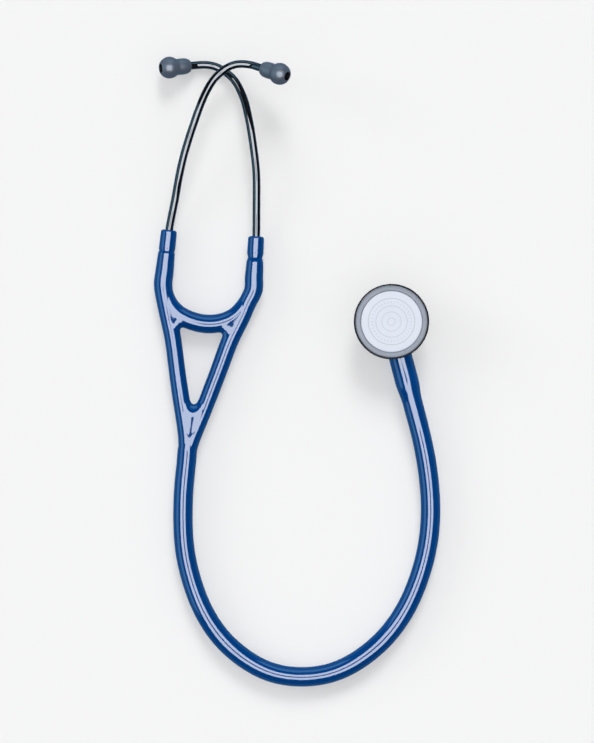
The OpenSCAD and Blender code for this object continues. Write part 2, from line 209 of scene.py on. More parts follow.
def silicone_material(name, foot, axis):
    """Satin silicone, with painted shade: near-black inside the sound hole that runs along the axis through foot,
    where the deep hole lies in shade.
    """
    material, tree = new_material(name)
    place = surface_place(tree)
    clouds = noise(tree, place, CLOUD_SCALE, 3)
    fine = noise(tree, place, 2600, 4, 0.6)
    sideways = computed(tree, "VectorMath", "CROSS_PRODUCT", surface_place(tree, foot), axis)
    distance = computed(tree, "VectorMath", "LENGTH", sideways, output="Value")
    # painted shade: the sound hole's walls are coloured near-black, as the deep hole would lie in shade
    inside = spread(tree, distance, 1, 0, MOUTH_R - 0.0002, MOUTH_R - 0.0001)
    colour = painted(tree, inside, two_colours(tree, clouds, *SILICONE_COLOURS), BORE_PAINTED_SHADE)
    surfaced(tree, colour, fine, (0.28, 0.38), (0.12, 0.00003), Specular_IOR_Level=0.75)
    return material


def diaphragm_material(name, centre, rings, ticks, tick_count):
    """Pale glass-fibre disc with thin printed rings, and a ring of short ticks between two radii."""
    material, tree = new_material(name)
    flat, distance = radial(tree, centre)
    fibres = noise(tree, flat, 2600, 5, 0.75)
    clouds = noise(tree, flat, 70, 2)
    sides = separated(tree, flat)
    angle = computed(tree, "Math", "ARCTAN2", sides["Y"], sides["X"])
    wave = computed(tree, "Math", "COSINE", computed(tree, "Math", "MULTIPLY", angle, tick_count))
    between = band(tree, distance, (ticks[0] + ticks[1]) / 2, (ticks[1] - ticks[0]) / 2)
    ink = computed(tree, "Math", "MULTIPLY", spread(tree, wave, 0, 1, 0.86, 0.93), between)
    for radius, half in rings:
        ink = computed(tree, "Math", "MAXIMUM", ink, band(tree, distance, radius, half))
    faded = computed(tree, "Math", "MULTIPLY", ink, INK_STRENGTH)
    colour = painted(tree, faded, two_colours(tree, clouds, *DIAPHRAGM_COLOURS), INK_COLOUR)
    surfaced(tree, colour, fibres, (0.34, 0.46), (0.15, 0.00003), Specular_IOR_Level=0.15)
    return material


# ---------------------------------------------------------------- curves and skins

SAMPLE_GAP = 0.0015
PLACES_AT_ONCE = 50000
NEWTON_STEPS = 4
LEAST_GROWTH = 0.3
ARC_STEPS = 6
TUBE_SIDES, HOSE_SIDES = 40, 64
SMALL_SIDES, BODY_SIDES, RING_SIDES = 96, 128, 160


class Curve:
    """A smooth curve through points (x, y, z, radius), followed by its length along the points."""

    def __init__(self, points):
        self.points = np.array(points, float)
        steps = np.linalg.norm(np.diff(self.points[:, :3], axis=0), axis=1)
        self.knots = np.concatenate([[0], np.cumsum(steps)])
        self.length = self.knots[-1]
        self.second = self._second_derivatives(steps)

    def _second_derivatives(self, steps):
        count = len(self.points)
        matrix = np.eye(count)
        right = np.zeros_like(self.points)
        for i in range(1, count - 1):
            before, after = steps[i - 1], steps[i]
            matrix[i, i - 1 : i + 2] = before, 2 * (before + after), after
            slope_after = (self.points[i + 1] - self.points[i]) / after
            slope_before = (self.points[i] - self.points[i - 1]) / before
            right[i] = 6 * (slope_after - slope_before)
        return np.linalg.solve(matrix, right)

    def _span(self, s):
        i = np.clip(np.searchsorted(self.knots, s, side="right") - 1, 0, len(self.knots) - 2)
        step = self.knots[i + 1] - self.knots[i]
        return i, step[..., None], ((s - self.knots[i]) / step)[..., None]

    def at(self, s):
        i, step, t = self._span(np.asarray(s, float))
        u = 1 - t
        bend = ((u**3 - u) * self.second[i] + (t**3 - t) * self.second[i + 1]) * step**2 / 6
        return u * self.points[i] + t * self.points[i + 1] + bend

    def slope(self, s):
        i, step, t = self._span(np.asarray(s, float))
        u = 1 - t
        bend = ((1 - 3 * u**2) * self.second[i] + (3 * t**2 - 1) * self.second[i + 1]) * step / 6
        return (self.points[i + 1] - self.points[i]) / step + bend

    def curvature(self, s):
        i, _, t = self._span(np.asarray(s, float))
        return (1 - t) * self.second[i] + t * self.second[i + 1]

    def nearest(self, places, exact=True):
        """The distance along the curve nearest to each place, or the nearest sample where exact is off."""
        samples = np.linspace(0, self.length, 2 + int(self.length / SAMPLE_GAP))
        centres = self.at(samples)[:, :3]
        squares = (centres**2).sum(1)
        found = np.empty(len(places), int)
        for start in range(0, len(places), PLACES_AT_ONCE):
            part = slice(start, start + PLACES_AT_ONCE)
            found[part] = np.argmin(squares - 2 * places[part] @ centres.T, axis=1)
        s = samples[found]
        for _ in range(NEWTON_STEPS if exact else 0):
            offset = self.at(s)[:, :3] - places
            slope = self.slope(s)[:, :3]
            along = (offset * slope).sum(1)
            growth = (slope**2).sum(1) + (offset * self.curvature(s)[:, :3]).sum(1)
            s = np.clip(s - along / np.maximum(growth, LEAST_GROWTH), 0, self.length)
        return s


def across(directions):
    """Two unit vectors square to each direction: one level, one upright."""
    level = np.cross(directions, (0, 0, 1))
    level /= np.linalg.norm(level, axis=1)[:, None]
    return level, np.cross(level, directions)


def add_object(name, mesh, material):
    mesh.materials.append(material)
    piece = bpy.data.objects.new(name, mesh)
    bpy.context.scene.collection.objects.link(piece)
    return piece


def rings_mesh(name, rings, sharp_turn_deg=40, closed=False):
    """Quads between rings of vertices. The ends are capped, or joined to each other in a closed run."""
    count, sides = rings.shape[:2]
    vertices = [tuple(v) for ring in rings for v in ring]
    faces = []
    for i in range(count if closed else count - 1):
        j = (i + 1) % count
        for k in range(sides):
            n = (k + 1) % sides
            faces.append((i * sides + k, i * sides + n, j * sides + n, j * sides + k))
    if not closed:
        for ring, order in ((0, -1), (count - 1, 1)):
            hub = len(vertices)
            vertices.append(tuple(rings[ring].mean(0)))
            for k in range(sides):
                pair = (ring * sides + k, ring * sides + (k + 1) % sides)[::order]
                faces.append((*pair, hub))
    mesh = bpy.data.meshes.new(name)
    mesh.from_pydata(vertices, [], faces)
    smooth_mesh(mesh, sharp_turn_deg)
    return mesh


def smooth_mesh(mesh, sharp_turn_deg):
    """Outward faces, smooth shading, and hard edges only where the surface turns sharply."""
    work = bmesh.new()
    work.from_mesh(mesh)
    bmesh.ops.recalc_face_normals(work, faces=work.faces)
    for face in work.faces:
        face.smooth = True
    limit = math.radians(sharp_turn_deg)
    for edge in work.edges:
        if len(edge.link_faces) == 2 and edge.calc_face_angle(0) > limit:
            edge.smooth = False
    work.to_mesh(mesh)
    work.free()


def circle_angles(sides):
    return np.arange(sides) * 2 * math.pi / sides


def swept_rings(curve, stations, radii, sides):
    """Rings round the curve at the stations, each with its own radius."""
    centres = curve.at(stations)[:, :3]
    directions = curve.slope(stations)[:, :3]
    directions /= np.linalg.norm(directions, axis=1)[:, None]
    level, upright = across(directions)
    angle = circle_angles(sides)
    circle = np.cos(angle)[None, :, None] * level[:, None] + np.sin(angle)[None, :, None] * upright[:, None]
    return centres[:, None] + np.array(radii)[:, None, None] * circle


def lathed_mesh(name, profile, matrix, sides, closed=False):
    """A profile of (height, radius) turned round the matrix's Z axis."""
    angle = circle_angles(sides)
    profile = np.array(profile)
    rings = np.stack(
        [
            profile[:, 1:] * np.cos(angle),
            profile[:, 1:] * np.sin(angle),
            np.repeat(profile[:, :1], sides, axis=1),
        ],
        axis=-1,
    )
    turned = rings @ np.array(matrix.to_3x3()).T + np.array(matrix.translation)
    return rings_mesh(name, turned, closed=closed)


def rounded(corners, closed=False):
    """An outline of (height, radius, rounding) corners, each rounding made an arc."""
    out = []
    count = len(corners)
    for i, (h, r, size) in enumerate(corners):
        ends = not closed and i in (0, count - 1)
        here = np.array((h, r))
        if size == 0 or ends:
            out.append(here)
            continue
        before = np.array(corners[i - 1][:2]) - here
        after = np.array(corners[(i + 1) % count][:2]) - here
        reach = min(size, 0.49 * np.linalg.norm(before), 0.49 * np.linalg.norm(after))
        start = here + before / np.linalg.norm(before) * reach
        end = here + after / np.linalg.norm(after) * reach
        for t in np.linspace(0, 1, ARC_STEPS + 1):
            out.append((1 - t) ** 2 * start + 2 * t * (1 - t) * here + t**2 * end)
    return [tuple(p) for p in out]


def pointing(place, direction):
    """A frame at place whose Z axis runs along direction."""
    turn = Vector(direction).to_track_quat("Z", "Y").to_matrix().to_4x4()
    return Matrix.Translation(place) @ turn


# ---------------------------------------------------------------- routes, from those of part.scad

SHIFT = np.array([0, 0.0037, 0, 0])
YOKE_Z = 0.0055
HOSE_R = 0.0057
HOSE_END_R = 0.0069
HOSE_MOUTH_R = HOSE_END_R - 0.0001
HOSE_Z = HOSE_R
TUBE_R = 0.00225
ARM_LENGTH = 0.0312
ARM_R = 0.00542
CHEST = np.array([0.0582, -0.0432, 0.0095])
STEM_TURN = math.radians(-75)
HOSE_START = 0.0176


def arm_point(pivot, lean_deg, h):
    """A point h along an arm from its pivot."""
    lean = math.radians(lean_deg)
    return [pivot[0] - h * math.sin(lean), pivot[1] + h * math.cos(lean), pivot[2]]


def stem_point(u, rise, radius):
    """A point of the hose u from the chestpiece's middle, along the stem."""
    return [CHEST[0] + u * math.cos(STEM_TURN), CHEST[1] + u * math.sin(STEM_TURN), CHEST[2] + rise, radius]


def tip_point(foot, turn_deg, rise_deg, h):
    """A point h along an eartip's axis from its foot."""
    turn, rise = math.radians(turn_deg), math.radians(rise_deg)
    flat = h * math.cos(rise)
    return [foot[0] + flat * math.cos(turn), foot[1] + flat * math.sin(turn), foot[2] + h * math.sin(rise)]


def thick(points, radius):
    """The points (x, y, z) with one radius."""
    return [[*point, radius] for point in points]


def placed(points):
    """The points moved from part.scad's origin to the row frame's."""
    return np.array(points) + SHIFT


LEFT_PIVOT, LEFT_LEAN = (-0.075, -0.0205, YOKE_Z), -6.4
RIGHT_PIVOT, RIGHT_LEAN = (-0.0222, -0.0244, YOKE_Z), -3
LEFT_TIP = (-0.017, 0.104, 0.0204)
RIGHT_TIP = (-0.0594, 0.1068, 0.0041)
LEFT_TIP_TURN, LEFT_TIP_RISE = -20, 31
RIGHT_TIP_TURN, RIGHT_TIP_RISE = 187, 22
TAIL_CUT = -0.1185

LEFT_LEG = [
    [-0.0610, -0.12, YOKE_Z + 0.0002, 0.0053],
    [-0.0610, -0.115, YOKE_Z + 0.0002, 0.0051],
    [-0.0617, -0.1065, YOKE_Z, 0.005],
    [-0.0631, -0.097, YOKE_Z, 0.00495],
    [-0.0653, -0.083, YOKE_Z, 0.00495],
    [-0.0672, -0.069, YOKE_Z, 0.00485],
    [-0.0698, -0.0503, YOKE_Z, 0.0049],
    [-0.0717, -0.041, YOKE_Z, 0.00505],
    [-0.0731, -0.034, YOKE_Z, 0.0052],
    [-0.0744, -0.027, YOKE_Z, 0.0053],
    [*LEFT_PIVOT, ARM_R],
]
RIGHT_LEG = [
    [-0.0609, -0.12, YOKE_Z + 0.0002, 0.0053],
    [-0.0595, -0.115, YOKE_Z + 0.0002, 0.0051],
    [-0.0562, -0.1065, YOKE_Z, 0.0049],
    [-0.0522, -0.097, YOKE_Z, 0.00485],
    [-0.0468, -0.083, YOKE_Z, 0.00495],
    [-0.0415, -0.069, YOKE_Z, 0.005],
    [-0.0342, -0.0503, YOKE_Z, 0.00515],
    [-0.029, -0.0398, YOKE_Z, 0.0052],
    [-0.025, -0.0306, YOKE_Z, 0.0053],
    [*RIGHT_PIVOT, ARM_R],
]
CROSS_BAR = [
    [-0.0744, -0.024, YOKE_Z, 0.0047],
    [-0.072, -0.0315, YOKE_Z, 0.005],
    [-0.067, -0.0378, YOKE_Z, 0.00525],
    [-0.059, -0.0423, YOKE_Z, 0.0054],
    [-0.0486, -0.0444, YOKE_Z, 0.00545],
    [-0.0386, -0.0428, YOKE_Z, 0.00535],
    [-0.0312, -0.0383, YOKE_Z, 0.00515],
    [-0.0263, -0.032, YOKE_Z, 0.0049],
    [-0.023, -0.0265, YOKE_Z, 0.0046],
]
HOSE_LOOP = [
    (-0.06088, -0.1186),
    (-0.0613, -0.124),
    (-0.0627, -0.138),
    (-0.0634, -0.1565),
    (-0.0624, -0.1755),
    (-0.0586, -0.1935),
    (-0.052, -0.211),
    (-0.0418, -0.227),
    (-0.0281, -0.2396),
    (-0.0116, -0.2482),
    (0.007, -0.2508),
    (0.0253, -0.2478),
    (0.042, -0.239),
    (0.056, -0.2265),
    (0.0667, -0.2113),
    (0.0743, -0.1942),
    (0.0793, -0.176),
    (0.0814, -0.1575),
    (0.0808, -0.139),
]
HOSE_ROUTE = [
    *([x, y, HOSE_Z, HOSE_R] for x, y in HOSE_LOOP),
    [0.0782, -0.1205, HOSE_Z + 0.0004, HOSE_R],
    stem_point(0.063, -0.0027, HOSE_R),
    stem_point(0.054, -0.0018, HOSE_R + 0.0001),
    stem_point(0.047, -0.0011, HOSE_R + 0.0002),
    stem_point(0.0425, -0.0006, (HOSE_R + HOSE_END_R) / 2),
    stem_point(0.038, -0.0002, HOSE_MOUTH_R),
    stem_point(0.032, 0, HOSE_END_R),
    stem_point(HOSE_START, 0, HOSE_MOUTH_R),
]
LEFT_TUBE = [
    *(arm_point(LEFT_PIVOT, LEFT_LEAN, h) for h in (0.018, ARM_LENGTH)),
    [-0.0681, 0.028, 0.0074],
    [-0.0659, 0.0396, 0.011],
    [-0.0633, 0.0512, 0.0142],
    [-0.0599, 0.0628, 0.0163],
    [-0.056, 0.0744, 0.017],
    [-0.0522, 0.0848, 0.0164],
    [-0.0477, 0.0942, 0.0152],
    [-0.0443, 0.099, 0.0148],
    [-0.0399, 0.103, 0.015],
    [-0.0356, 0.1056, 0.0156],
    [-0.0309, 0.1068, 0.016],
    [-0.0264, 0.1067, 0.0163],
    *(tip_point(LEFT_TIP, LEFT_TIP_TURN, LEFT_TIP_RISE, h) for h in (-0.006, -0.0036, -0.0012)),
]
RIGHT_TUBE = [
    *(arm_point(RIGHT_PIVOT, RIGHT_LEAN, h) for h in (0.018, ARM_LENGTH)),
    [-0.0204, 0.0222, 0.0068],
    [-0.0203, 0.0338, 0.009],
    [-0.0206, 0.0454, 0.0106],
    [-0.0219, 0.057, 0.0112],
    [-0.0236, 0.0686, 0.0106],
    [-0.0254, 0.078, 0.0092],
    [-0.0271, 0.085, 0.0077],
    [-0.0298, 0.0921, 0.006],
    [-0.0343, 0.0994, 0.0044],
    [-0.0403, 0.1043, 0.0031],
    [-0.0447, 0.1065, 0.0028],
    [-0.0495, 0.1074, 0.00275],
    *(tip_point(RIGHT_TIP, RIGHT_TIP_TURN, RIGHT_TIP_RISE, h) for h in (-0.0042, -0.0027, -0.0012)),
]


# ---------------------------------------------------------------- yoke

GRID = 0.0005
SLOPE_STEP = 0.00005
FILLET = 0.0038
TOP_FILLET = 0.0018
TOP_FILLET_RISE = 0.0045
TIP_FILLET = 0.0055
TIP_FILLET_FROM = -0.078
TIP_FILLET_TO = -0.094
TAIL_CLEAR = 0.004
TAIL_EASE = 0.012
KEPT, EVENED = 0.4, 0.6
ROUNDS, QUICK_ROUNDS = 3, 1
ARMS_FROM_Y = -0.06
TAIL_BELOW_Y = -0.1
ARM_STATIONS = (0.006, 0.012, 0.018, 0.0245, ARM_LENGTH + 0.001)
TAIL = [
    [-0.0597, -0.108, HOSE_Z - 0.0002, 0.0040],
    [-0.0604, -0.1135, HOSE_Z, 0.0050],
]


def smoothstep(t):
    t = np.clip(t, 0, 1)
    return t * t * (3 - 2 * t)


def tube_field(curve, places, exact=True):
    """Distance from the tube's surface, and the way straight out of the tube."""
    nearest = curve.at(curve.nearest(places, exact))
    out = places - nearest[:, :3]
    reach = np.linalg.norm(out, axis=1)
    return reach - nearest[:, 3], out / np.maximum(reach, 1e-9)[:, None]


def yoke_field(curves, places, exact=True):
    """Distance from the tubes' joint skin. A fillet fills where tubes meet at an angle, none where they run
    side by side. It is larger above the tubes' level and towards the tip of the triangle."""
    distance, out = tube_field(curves[0], places, exact)
    tip = smoothstep((places[:, 1] - TIP_FILLET_FROM) / (TIP_FILLET_TO - TIP_FILLET_FROM))
    top = smoothstep((places[:, 2] - YOKE_Z) / TOP_FILLET_RISE)
    end = smoothstep((places[:, 1] - TAIL_CUT - TAIL_CLEAR) / TAIL_EASE)
    for curve in curves[1:]:
        other, other_out = tube_field(curve, places, exact)
        opening = smoothstep(1 - (out * other_out).sum(1))
        size = (FILLET + TOP_FILLET * top + TIP_FILLET * tip * end) * opening + 1e-6
        share = np.clip(0.5 + 0.5 * (other - distance) / size, 0, 1)
        distance = other * (1 - share) + distance * share - size * share * (1 - share)
        out = other_out * (1 - share)[:, None] + out * share[:, None]
        out /= np.maximum(np.linalg.norm(out, axis=1), 1e-9)[:, None]
    return distance


def field_slope(field, places):
    slope = np.empty_like(places)
    for axis in range(3):
        ahead = places.copy()
        behind = places.copy()
        ahead[:, axis] += SLOPE_STEP
        behind[:, axis] -= SLOPE_STEP
        slope[:, axis] = (field(ahead) - field(behind)) / (2 * SLOPE_STEP)
    return slope


def surface_net(field, low, high, step):
    """Quads round the field's zero level: one vertex in each grid cell that the surface crosses."""
    axes = [np.arange(low[a], high[a] + step, step) for a in range(3)]
    shape = tuple(len(a) for a in axes)
    places = np.stack(np.meshgrid(*axes, indexing="ij"), axis=-1).reshape(-1, 3)
    values = field(places, exact=False)
    near = np.abs(values) < 3 * step
    values[near] = field(places[near])
    values = values.reshape(shape)
    cells = tuple(n - 1 for n in shape)
    corners = [(i, j, k) for i in (0, 1) for j in (0, 1) for k in (0, 1)]
    at_corner = {c: values[tuple(slice(c[a], c[a] + cells[a]) for a in range(3))] for c in corners}
    inside = np.stack([at_corner[c] < 0 for c in corners])
    crossed = inside.any(0) & ~inside.all(0)
    index = np.full(cells, -1)
    index[crossed] = np.arange(crossed.sum())
    total = np.zeros((crossed.sum(), 3))
    hits = np.zeros(crossed.sum())
    for corner in corners:
        for axis in range(3):
            if corner[axis]:
                continue
            far = tuple(corner[a] + (a == axis) for a in range(3))
            first, second = at_corner[corner][crossed], at_corner[far][crossed]
            cut = (first < 0) != (second < 0)
            share = first[cut] / (first[cut] - second[cut])
            point = np.repeat([corner], cut.sum(), axis=0).astype(float)
            point[:, axis] += share
            total[cut] += point
            hits[cut] += 1
    vertices = np.array(low) + step * (np.argwhere(crossed) + total / hits[:, None])
    quads = []
    for axis in range(3):
        b, c = (axis + 1) % 3, (axis + 2) % 3
        first = np.take(values, range(shape[axis] - 1), axis) < 0
        second = np.take(values, range(1, shape[axis]), axis) < 0
        for leaving, order in ((first & ~second, 1), (~first & second, -1)):
            edges = np.argwhere(leaving)
            inner = (edges[:, [b, c]] > 0) & (edges[:, [b, c]] < (shape[b] - 1, shape[c] - 1))
            edges = edges[inner.all(1)]
            ring = []
            for db, dc in ((1, 1), (0, 1), (0, 0), (1, 0)):
                cell = edges.copy()
                cell[:, b] -= db
                cell[:, c] -= dc
                ring.append(index[tuple(cell.T)])
            quads.append(np.stack(ring[::order], axis=1))
    return vertices, np.concatenate(quads)


def relaxed(vertices, quads, field, rounds):
    """The net drawn evenly over the surface: each round evens it out and puts it back on the surface."""
    pairs = np.concatenate([quads[:, [i, (i + 1) % 4]] for i in range(4)])
    pairs = np.concatenate([pairs, pairs[:, ::-1]])
    neighbours = np.bincount(pairs[:, 0], minlength=len(vertices))[:, None]
    for turn in range(rounds):
        if turn:
            sums = [np.bincount(pairs[:, 0], vertices[pairs[:, 1], a], len(vertices)) for a in range(3)]
            vertices = KEPT * vertices + EVENED * np.stack(sums, axis=1) / neighbours
        for _ in range(2):
            slope = field_slope(field, vertices)
            vertices = vertices - field(vertices)[:, None] * slope / (slope**2).sum(1)[:, None]
    return vertices


def yoke_curves():
    """The legs with the arms that carry on from them, the cross bar and the tail."""
    past_left = thick([arm_point(LEFT_PIVOT, LEFT_LEAN, h) for h in ARM_STATIONS], ARM_R)
    past_right = thick([arm_point(RIGHT_PIVOT, RIGHT_LEAN, h) for h in ARM_STATIONS], ARM_R)
    return {
        "left": Curve(placed(LEFT_LEG + past_left)),
        "right": Curve(placed(RIGHT_LEG + past_right)),
        "bar": Curve(placed(CROSS_BAR)),
        "tail": Curve(placed(TAIL + HOSE_ROUTE[:3])),
    }


def cut_mesh(work, place, normal, near):
    """Cuts the mesh on a plane where near says so, drops what is in front, and caps the cut."""
    faces = [f for f in work.faces if near(f.calc_center_median())]
    edges = dict.fromkeys(e for f in faces for e in f.edges)
    corners = dict.fromkeys(v for f in faces for v in f.verts)
    plane = {"plane_co": place, "plane_no": normal, "dist": 1e-7, "clear_outer": True}
    cut = bmesh.ops.bisect_plane(work, geom=[*faces, *edges, *corners], **plane)
    rim = [g for g in cut["geom_cut"] if isinstance(g, bmesh.types.BMEdge) and g.is_valid]
    before = set(work.faces)
    bmesh.ops.holes_fill(work, edges=rim, sides=0)
    for edge in rim:
        edge.smooth = False
    return [f for f in work.faces if f not in before]


def make_yoke(curves, material):
    def field(places, exact=True):
        return yoke_field(list(curves.values()), places, exact)

    lows, highs = zip(*(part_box(node) for node in ("yoke", "leaf_spring")))
    low = np.min(lows, axis=0) - 4 * GRID
    high = np.max(highs, axis=0) + 4 * GRID
    vertices, quads = surface_net(field, low, high, GRID)
    vertices = relaxed(vertices, quads, field, ROUNDS)
    mesh = bpy.data.meshes.new("yoke_skin")
    mesh.from_pydata([tuple(v) for v in vertices], [], [tuple(int(i) for i in q) for q in quads])
    work = bmesh.new()
    work.from_mesh(mesh)
    middle_x = (LEFT_PIVOT[0] + RIGHT_PIVOT[0]) / 2
    cuts = [
        ("left", len(LEFT_LEG) - 1, lambda c: c.x < middle_x and c.y > ARMS_FROM_Y),
        ("right", len(RIGHT_LEG) - 1, lambda c: c.x > middle_x and c.y > ARMS_FROM_Y),
        ("tail", len(TAIL), lambda c: c.y < TAIL_BELOW_Y),
    ]
    caps = set()
    for key, knot, near in cuts:
        station = curves[key].knots[knot]
        place = Vector(curves[key].at(station)[:3])
        normal = Vector(curves[key].slope(station)[:3]).normalized()
        caps |= set(cut_mesh(work, place, normal, near))
    for face in work.faces:
        face.smooth = True
    bmesh.ops.recalc_face_normals(work, faces=work.faces)
    work.faces.index_update()
    cap_numbers = {f.index for f in work.faces if f in caps}
    work.to_mesh(mesh)
    work.free()
    set_field_normals(mesh, field, cap_numbers)
    yoke = add_object("yoke_moulding", mesh, material)
    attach(yoke, "yoke")
    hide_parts("yoke")


def set_field_normals(mesh, field, flat_faces):
    """Normals straight from the field, so that the skin shines evenly up to its cut edges."""
    places = np.array([v.co for v in mesh.vertices])
    slopes = field_slope(field, places)
    slopes /= np.linalg.norm(slopes, axis=1)[:, None]
    normals = np.empty((len(mesh.loops), 3))
    for polygon in mesh.polygons:
        for loop in polygon.loop_indices:
            corner = mesh.loops[loop].vertex_index
            normals[loop] = polygon.normal if polygon.index in flat_faces else slopes[corner]
    mesh.normals_split_custom_set([tuple(n) for n in normals])


# ---------------------------------------------------------------- arms, tubes and hose

STATION_GAP = 0.001
GROOVE_AT = 0.0188
GROOVES = {"left": (0.0013, 0.00038), "right": (0.0025, 0.0007)}
ARM_STATION_GAP = 0.0006
ARM_SHARP_TURN_DEG = 25
COLLAR_END_R = 0.00475
SOCKET_R = 0.00235
HOSE_BORE_R = 0.0031
HOSE_LIP = 0.0008


def arm_profile(groove_half, groove_depth):
    """An arm from its hinge: it narrows to a collar past a groove, and turns in round the ear tube."""
    return rounded(
        [
            (0, ARM_R, 0),
            (0.004, ARM_R, 0.002),
            (0.009, ARM_R - 0.00012, 0.004),
            (GROOVE_AT - groove_half, 0.00492, 0.0006),
            (GROOVE_AT, 0.00485 - groove_depth, 0),
            (GROOVE_AT + groove_half, 0.0048, 0.0006),
            (ARM_LENGTH - 0.005, COLLAR_END_R, 0.003),
            (ARM_LENGTH - 0.0006, COLLAR_END_R - 0.0001, 0.0012),
            (ARM_LENGTH + 0.0001, COLLAR_END_R - 0.0012, 0.0008),
            (ARM_LENGTH, 0.0026, 0.0003),
            (ARM_LENGTH - 0.003, SOCKET_R, 0.0002),
            (ARM_LENGTH - 0.009, SOCKET_R, 0),
        ]
    )


def filled(profile, step):
    """The profile with more stations where they are far apart."""
    out = [profile[0]]
    for before, after in zip(profile, profile[1:]):
        gap = math.hypot(after[0] - before[0], after[1] - before[1])
        count = max(1, math.ceil(gap / step))
        for i in range(1, count + 1):
            out.append(tuple(np.array(before) + (np.array(after) - np.array(before)) * i / count))
    return out


def make_arm(side, curve, leg, material):
    start = curve.knots[len(leg) - 1]
    profile = np.array(filled(arm_profile(*GROOVES[side]), ARM_STATION_GAP))
    rings = swept_rings(curve, start + profile[:, 0], profile[:, 1], HOSE_SIDES)
    name = f"{side}_arm_moulding"
    arm = add_object(name, rings_mesh(name, rings, ARM_SHARP_TURN_DEG), material)
    pivot = Vector(curve.at(start)[:3])
    forward = Vector(curve.slope(start)[:3]).normalized()
    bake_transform(arm)
    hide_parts(f"{side}_arm")


def even_stations(curve):
    return np.linspace(0, curve.length, 2 + int(curve.length / STATION_GAP))


def make_ear_tube(side, route, material):
    curve = Curve(placed(thick(route, TUBE_R)))
    stations = even_stations(curve)
    rings = swept_rings(curve, stations, np.full(len(stations), TUBE_R), TUBE_SIDES)
    name = f"{side}_ear_tube_skin"
    tube = add_object(name, rings_mesh(name, rings), material)
    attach(tube, f"{side}_ear")
    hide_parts(f"{side}_ear_tube")


def make_hose(material):
    """The hose, with a rounded lip and the start of its bore at the stem's end."""
    curve = Curve(placed(HOSE_ROUTE))
    stations = even_stations(curve)
    path = curve.at(stations)[:, :3]
    radii = list(curve.at(stations)[:-2, 3])
    stations = list(stations[:-2])
    for angle in np.linspace(0, 90, 8):
        turn = math.radians(angle)
        stations.append(curve.length - HOSE_LIP + HOSE_LIP * math.sin(turn))
        radii.append(HOSE_MOUTH_R - HOSE_LIP + HOSE_LIP * math.cos(turn))
    for back, radius in ((0, HOSE_BORE_R + 0.0003), (0.0003, HOSE_BORE_R), (0.010, HOSE_BORE_R)):
        stations.append(curve.length - back)
        radii.append(radius)
    rings = swept_rings(curve, np.array(stations), radii, HOSE_SIDES)
    hose = add_object("long_hose", rings_mesh("long_hose", rings), material)
    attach(hose, "yoke")
    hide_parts("main_hose")
    length = float(np.linalg.norm(np.diff(path, axis=0), axis=1).sum())
    tuple(path[0])
    [tuple(p) for p in path]


# ---------------------------------------------------------------- eartips

BULB_R = 0.00635
BULB_AT = 0.0128
COLLAR_R = 0.00475
COLLAR_HALF = 0.0048
COLLAR_BULGE = 0.002
MOUTH_R = 0.0028
MOUTH_EDGE_R = MOUTH_R + 0.0003
FERRULE_R = 0.0023


def eartip_profile():
    """A closed outline: barrel-shaped collar, round end, mouth, sound hole and the bore on the ferrule."""
    outline = [(0.0, FERRULE_R + 0.0002)]
    for angle in np.linspace(-80, 0, 16):
        turn = math.radians(angle)
        h = COLLAR_HALF + COLLAR_HALF * math.sin(turn)
        outline.append((h, COLLAR_R - COLLAR_BULGE + COLLAR_BULGE * math.cos(turn)))
    outline += [
        (0.0058, COLLAR_R),
        (0.0066, 0.00472),
        (0.0073, 0.00467),
        (0.0079, 0.00466),
        (0.0084, 0.00476),
    ]
    last = math.degrees(math.asin(MOUTH_EDGE_R / BULB_R))
    for angle in np.linspace(127.5, last, 34):
        turn = math.radians(angle)
        outline.append((BULB_AT + BULB_R * math.cos(turn), BULB_R * math.sin(turn)))
    top = BULB_AT + math.sqrt(BULB_R**2 - MOUTH_EDGE_R**2)
    outline += [
        (top + 0.00005, MOUTH_R + 0.0001),
        (top - 0.0002, MOUTH_R - 0.0002),
        (0.014, 0.0024),
        (0.0135, 0.0022),
        (0.0131, 0.0017),
        (0.0128, 0.0017),
        (0.0125, FERRULE_R),
        (0.0004, FERRULE_R),
    ]
    return outline


def make_eartip(side, foot):
    axis = JOINTS[f"{side}_eartip_pull"]["axis"]
    place = placed([[*foot, 0]])[0][:3]
    name = f"{side}_eartip_skin"
    mesh = lathed_mesh(name, eartip_profile(), pointing(place, axis), SMALL_SIDES, closed=True)
    tip = add_object(name, mesh, silicone_material(f"{side}_silicone", place, axis))
    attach(tip, f"{side}_eartip")
    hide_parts(f"{side}_eartip")


# ---------------------------------------------------------------- chestpiece

LARGE_R, LARGE_OPEN = 0.0219, 0.0178
SMALL_R, SMALL_OPEN = 0.0168, 0.013
CHEST_H = 0.0225
WAIST_R = 0.0082
STEM_BORE_R = 0.00306


def chest_frame(flipped=False):
    """The chestpiece's axis with Z up from the table, or down from the top for the large side."""
    low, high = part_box("large_rim")
    middle = (low + high) / 2
    if flipped:
        return Matrix.Translation((middle.x, middle.y, CHEST_H)) @ Matrix.Rotation(math.pi, 4, "X")
    return Matrix.Translation((middle.x, middle.y, 0))


def rim_profile(r, deep):
    return rounded(
        [
            (0.00055, r - 0.00085, 0.0002),
            (0.0003, r - 0.0005, 0.0002),
            (0.00055, r - 0.0001, 0.0003),
            (0.0012, r, 0.0004),
            (deep - 0.0005, r, 0.0004),
            (deep, r - 0.0004, 0.0003),
            (deep, r - 0.0008, 0),
        ],
        closed=True,
    )


def surround_profile(r, opening):
    return rounded(
        [
            (0.00042, opening - 0.00015, 0.0001),
            (0.00012, opening + 0.0003, 0.0003),
            (0.0, opening + 0.0011, 0.0005),
            (0.00025, r - 0.0014, 0.0005),
            (0.0006, r - 0.0009, 0.0003),
            (0.00215, r - 0.0009, 0),
            (0.00215, opening + 0.0011, 0),
            (0.0006, opening + 0.0011, 0),
            (0.0006, opening - 0.00015, 0),
        ],
        closed=True,
    )


